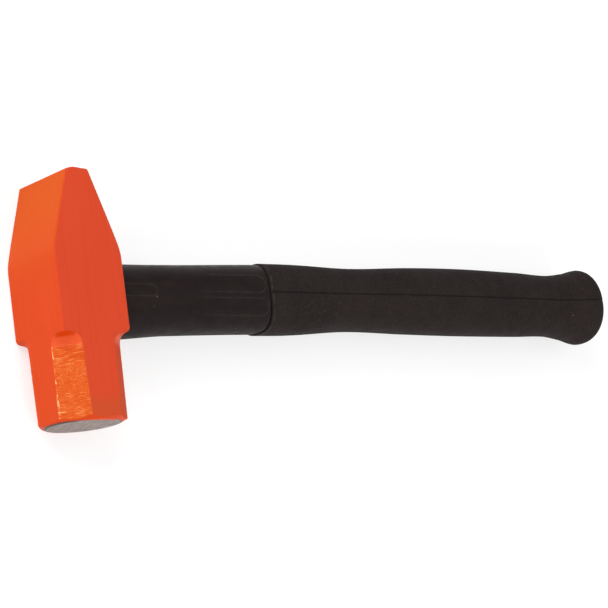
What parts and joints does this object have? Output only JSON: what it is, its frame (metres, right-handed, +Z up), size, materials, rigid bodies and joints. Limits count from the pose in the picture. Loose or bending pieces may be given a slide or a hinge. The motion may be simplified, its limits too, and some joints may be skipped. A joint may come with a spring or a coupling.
{
  "type": "cross-peen sledgehammer",
  "caption": "Short-handled cross-peen sledgehammer: painted forged head with an octagonal poll and a bare round striking face, steel-rod core handle, smooth neck and flared rubber grip.",
  "frame": {"origin": "on the resting cheek of the head, straight below the centre of the eye", "axes": "+X along the handle from the head to the knob, +Y towards the peen, +Z up, out of the upper cheek"},
  "size_m": [0.401, 0.1332, 0.044],
  "materials": {
    "head_paint": "gloss orange enamel over forged steel, bare ground steel on the striking face",
    "core_steel": "bare spring steel",
    "bush_plastic": "moulded nylon",
    "spacer_plastic": "moulded nylon",
    "neck_plastic": "semi-gloss black moulding",
    "grip_rubber": "matte black rubber with a fine moulded grain"
  },
  "bodies": {
    "root": {"head": "head_paint", "lock_plate": "head_paint", "eye_bush": "bush_plastic", "core_rod_1": "core_steel", "core_rod_2": "core_steel", "core_rod_3": "core_steel", "core_rod_4": "core_steel", "core_rod_5": "core_steel", "core_rod_6": "core_steel", "neck_spacer": "spacer_plastic", "waist_spacer": "spacer_plastic", "swell_spacer": "spacer_plastic", "butt_plate": "core_steel", "handle_jacket": "neck_plastic", "grip": "grip_rubber"}
  },
  "joints": []
}
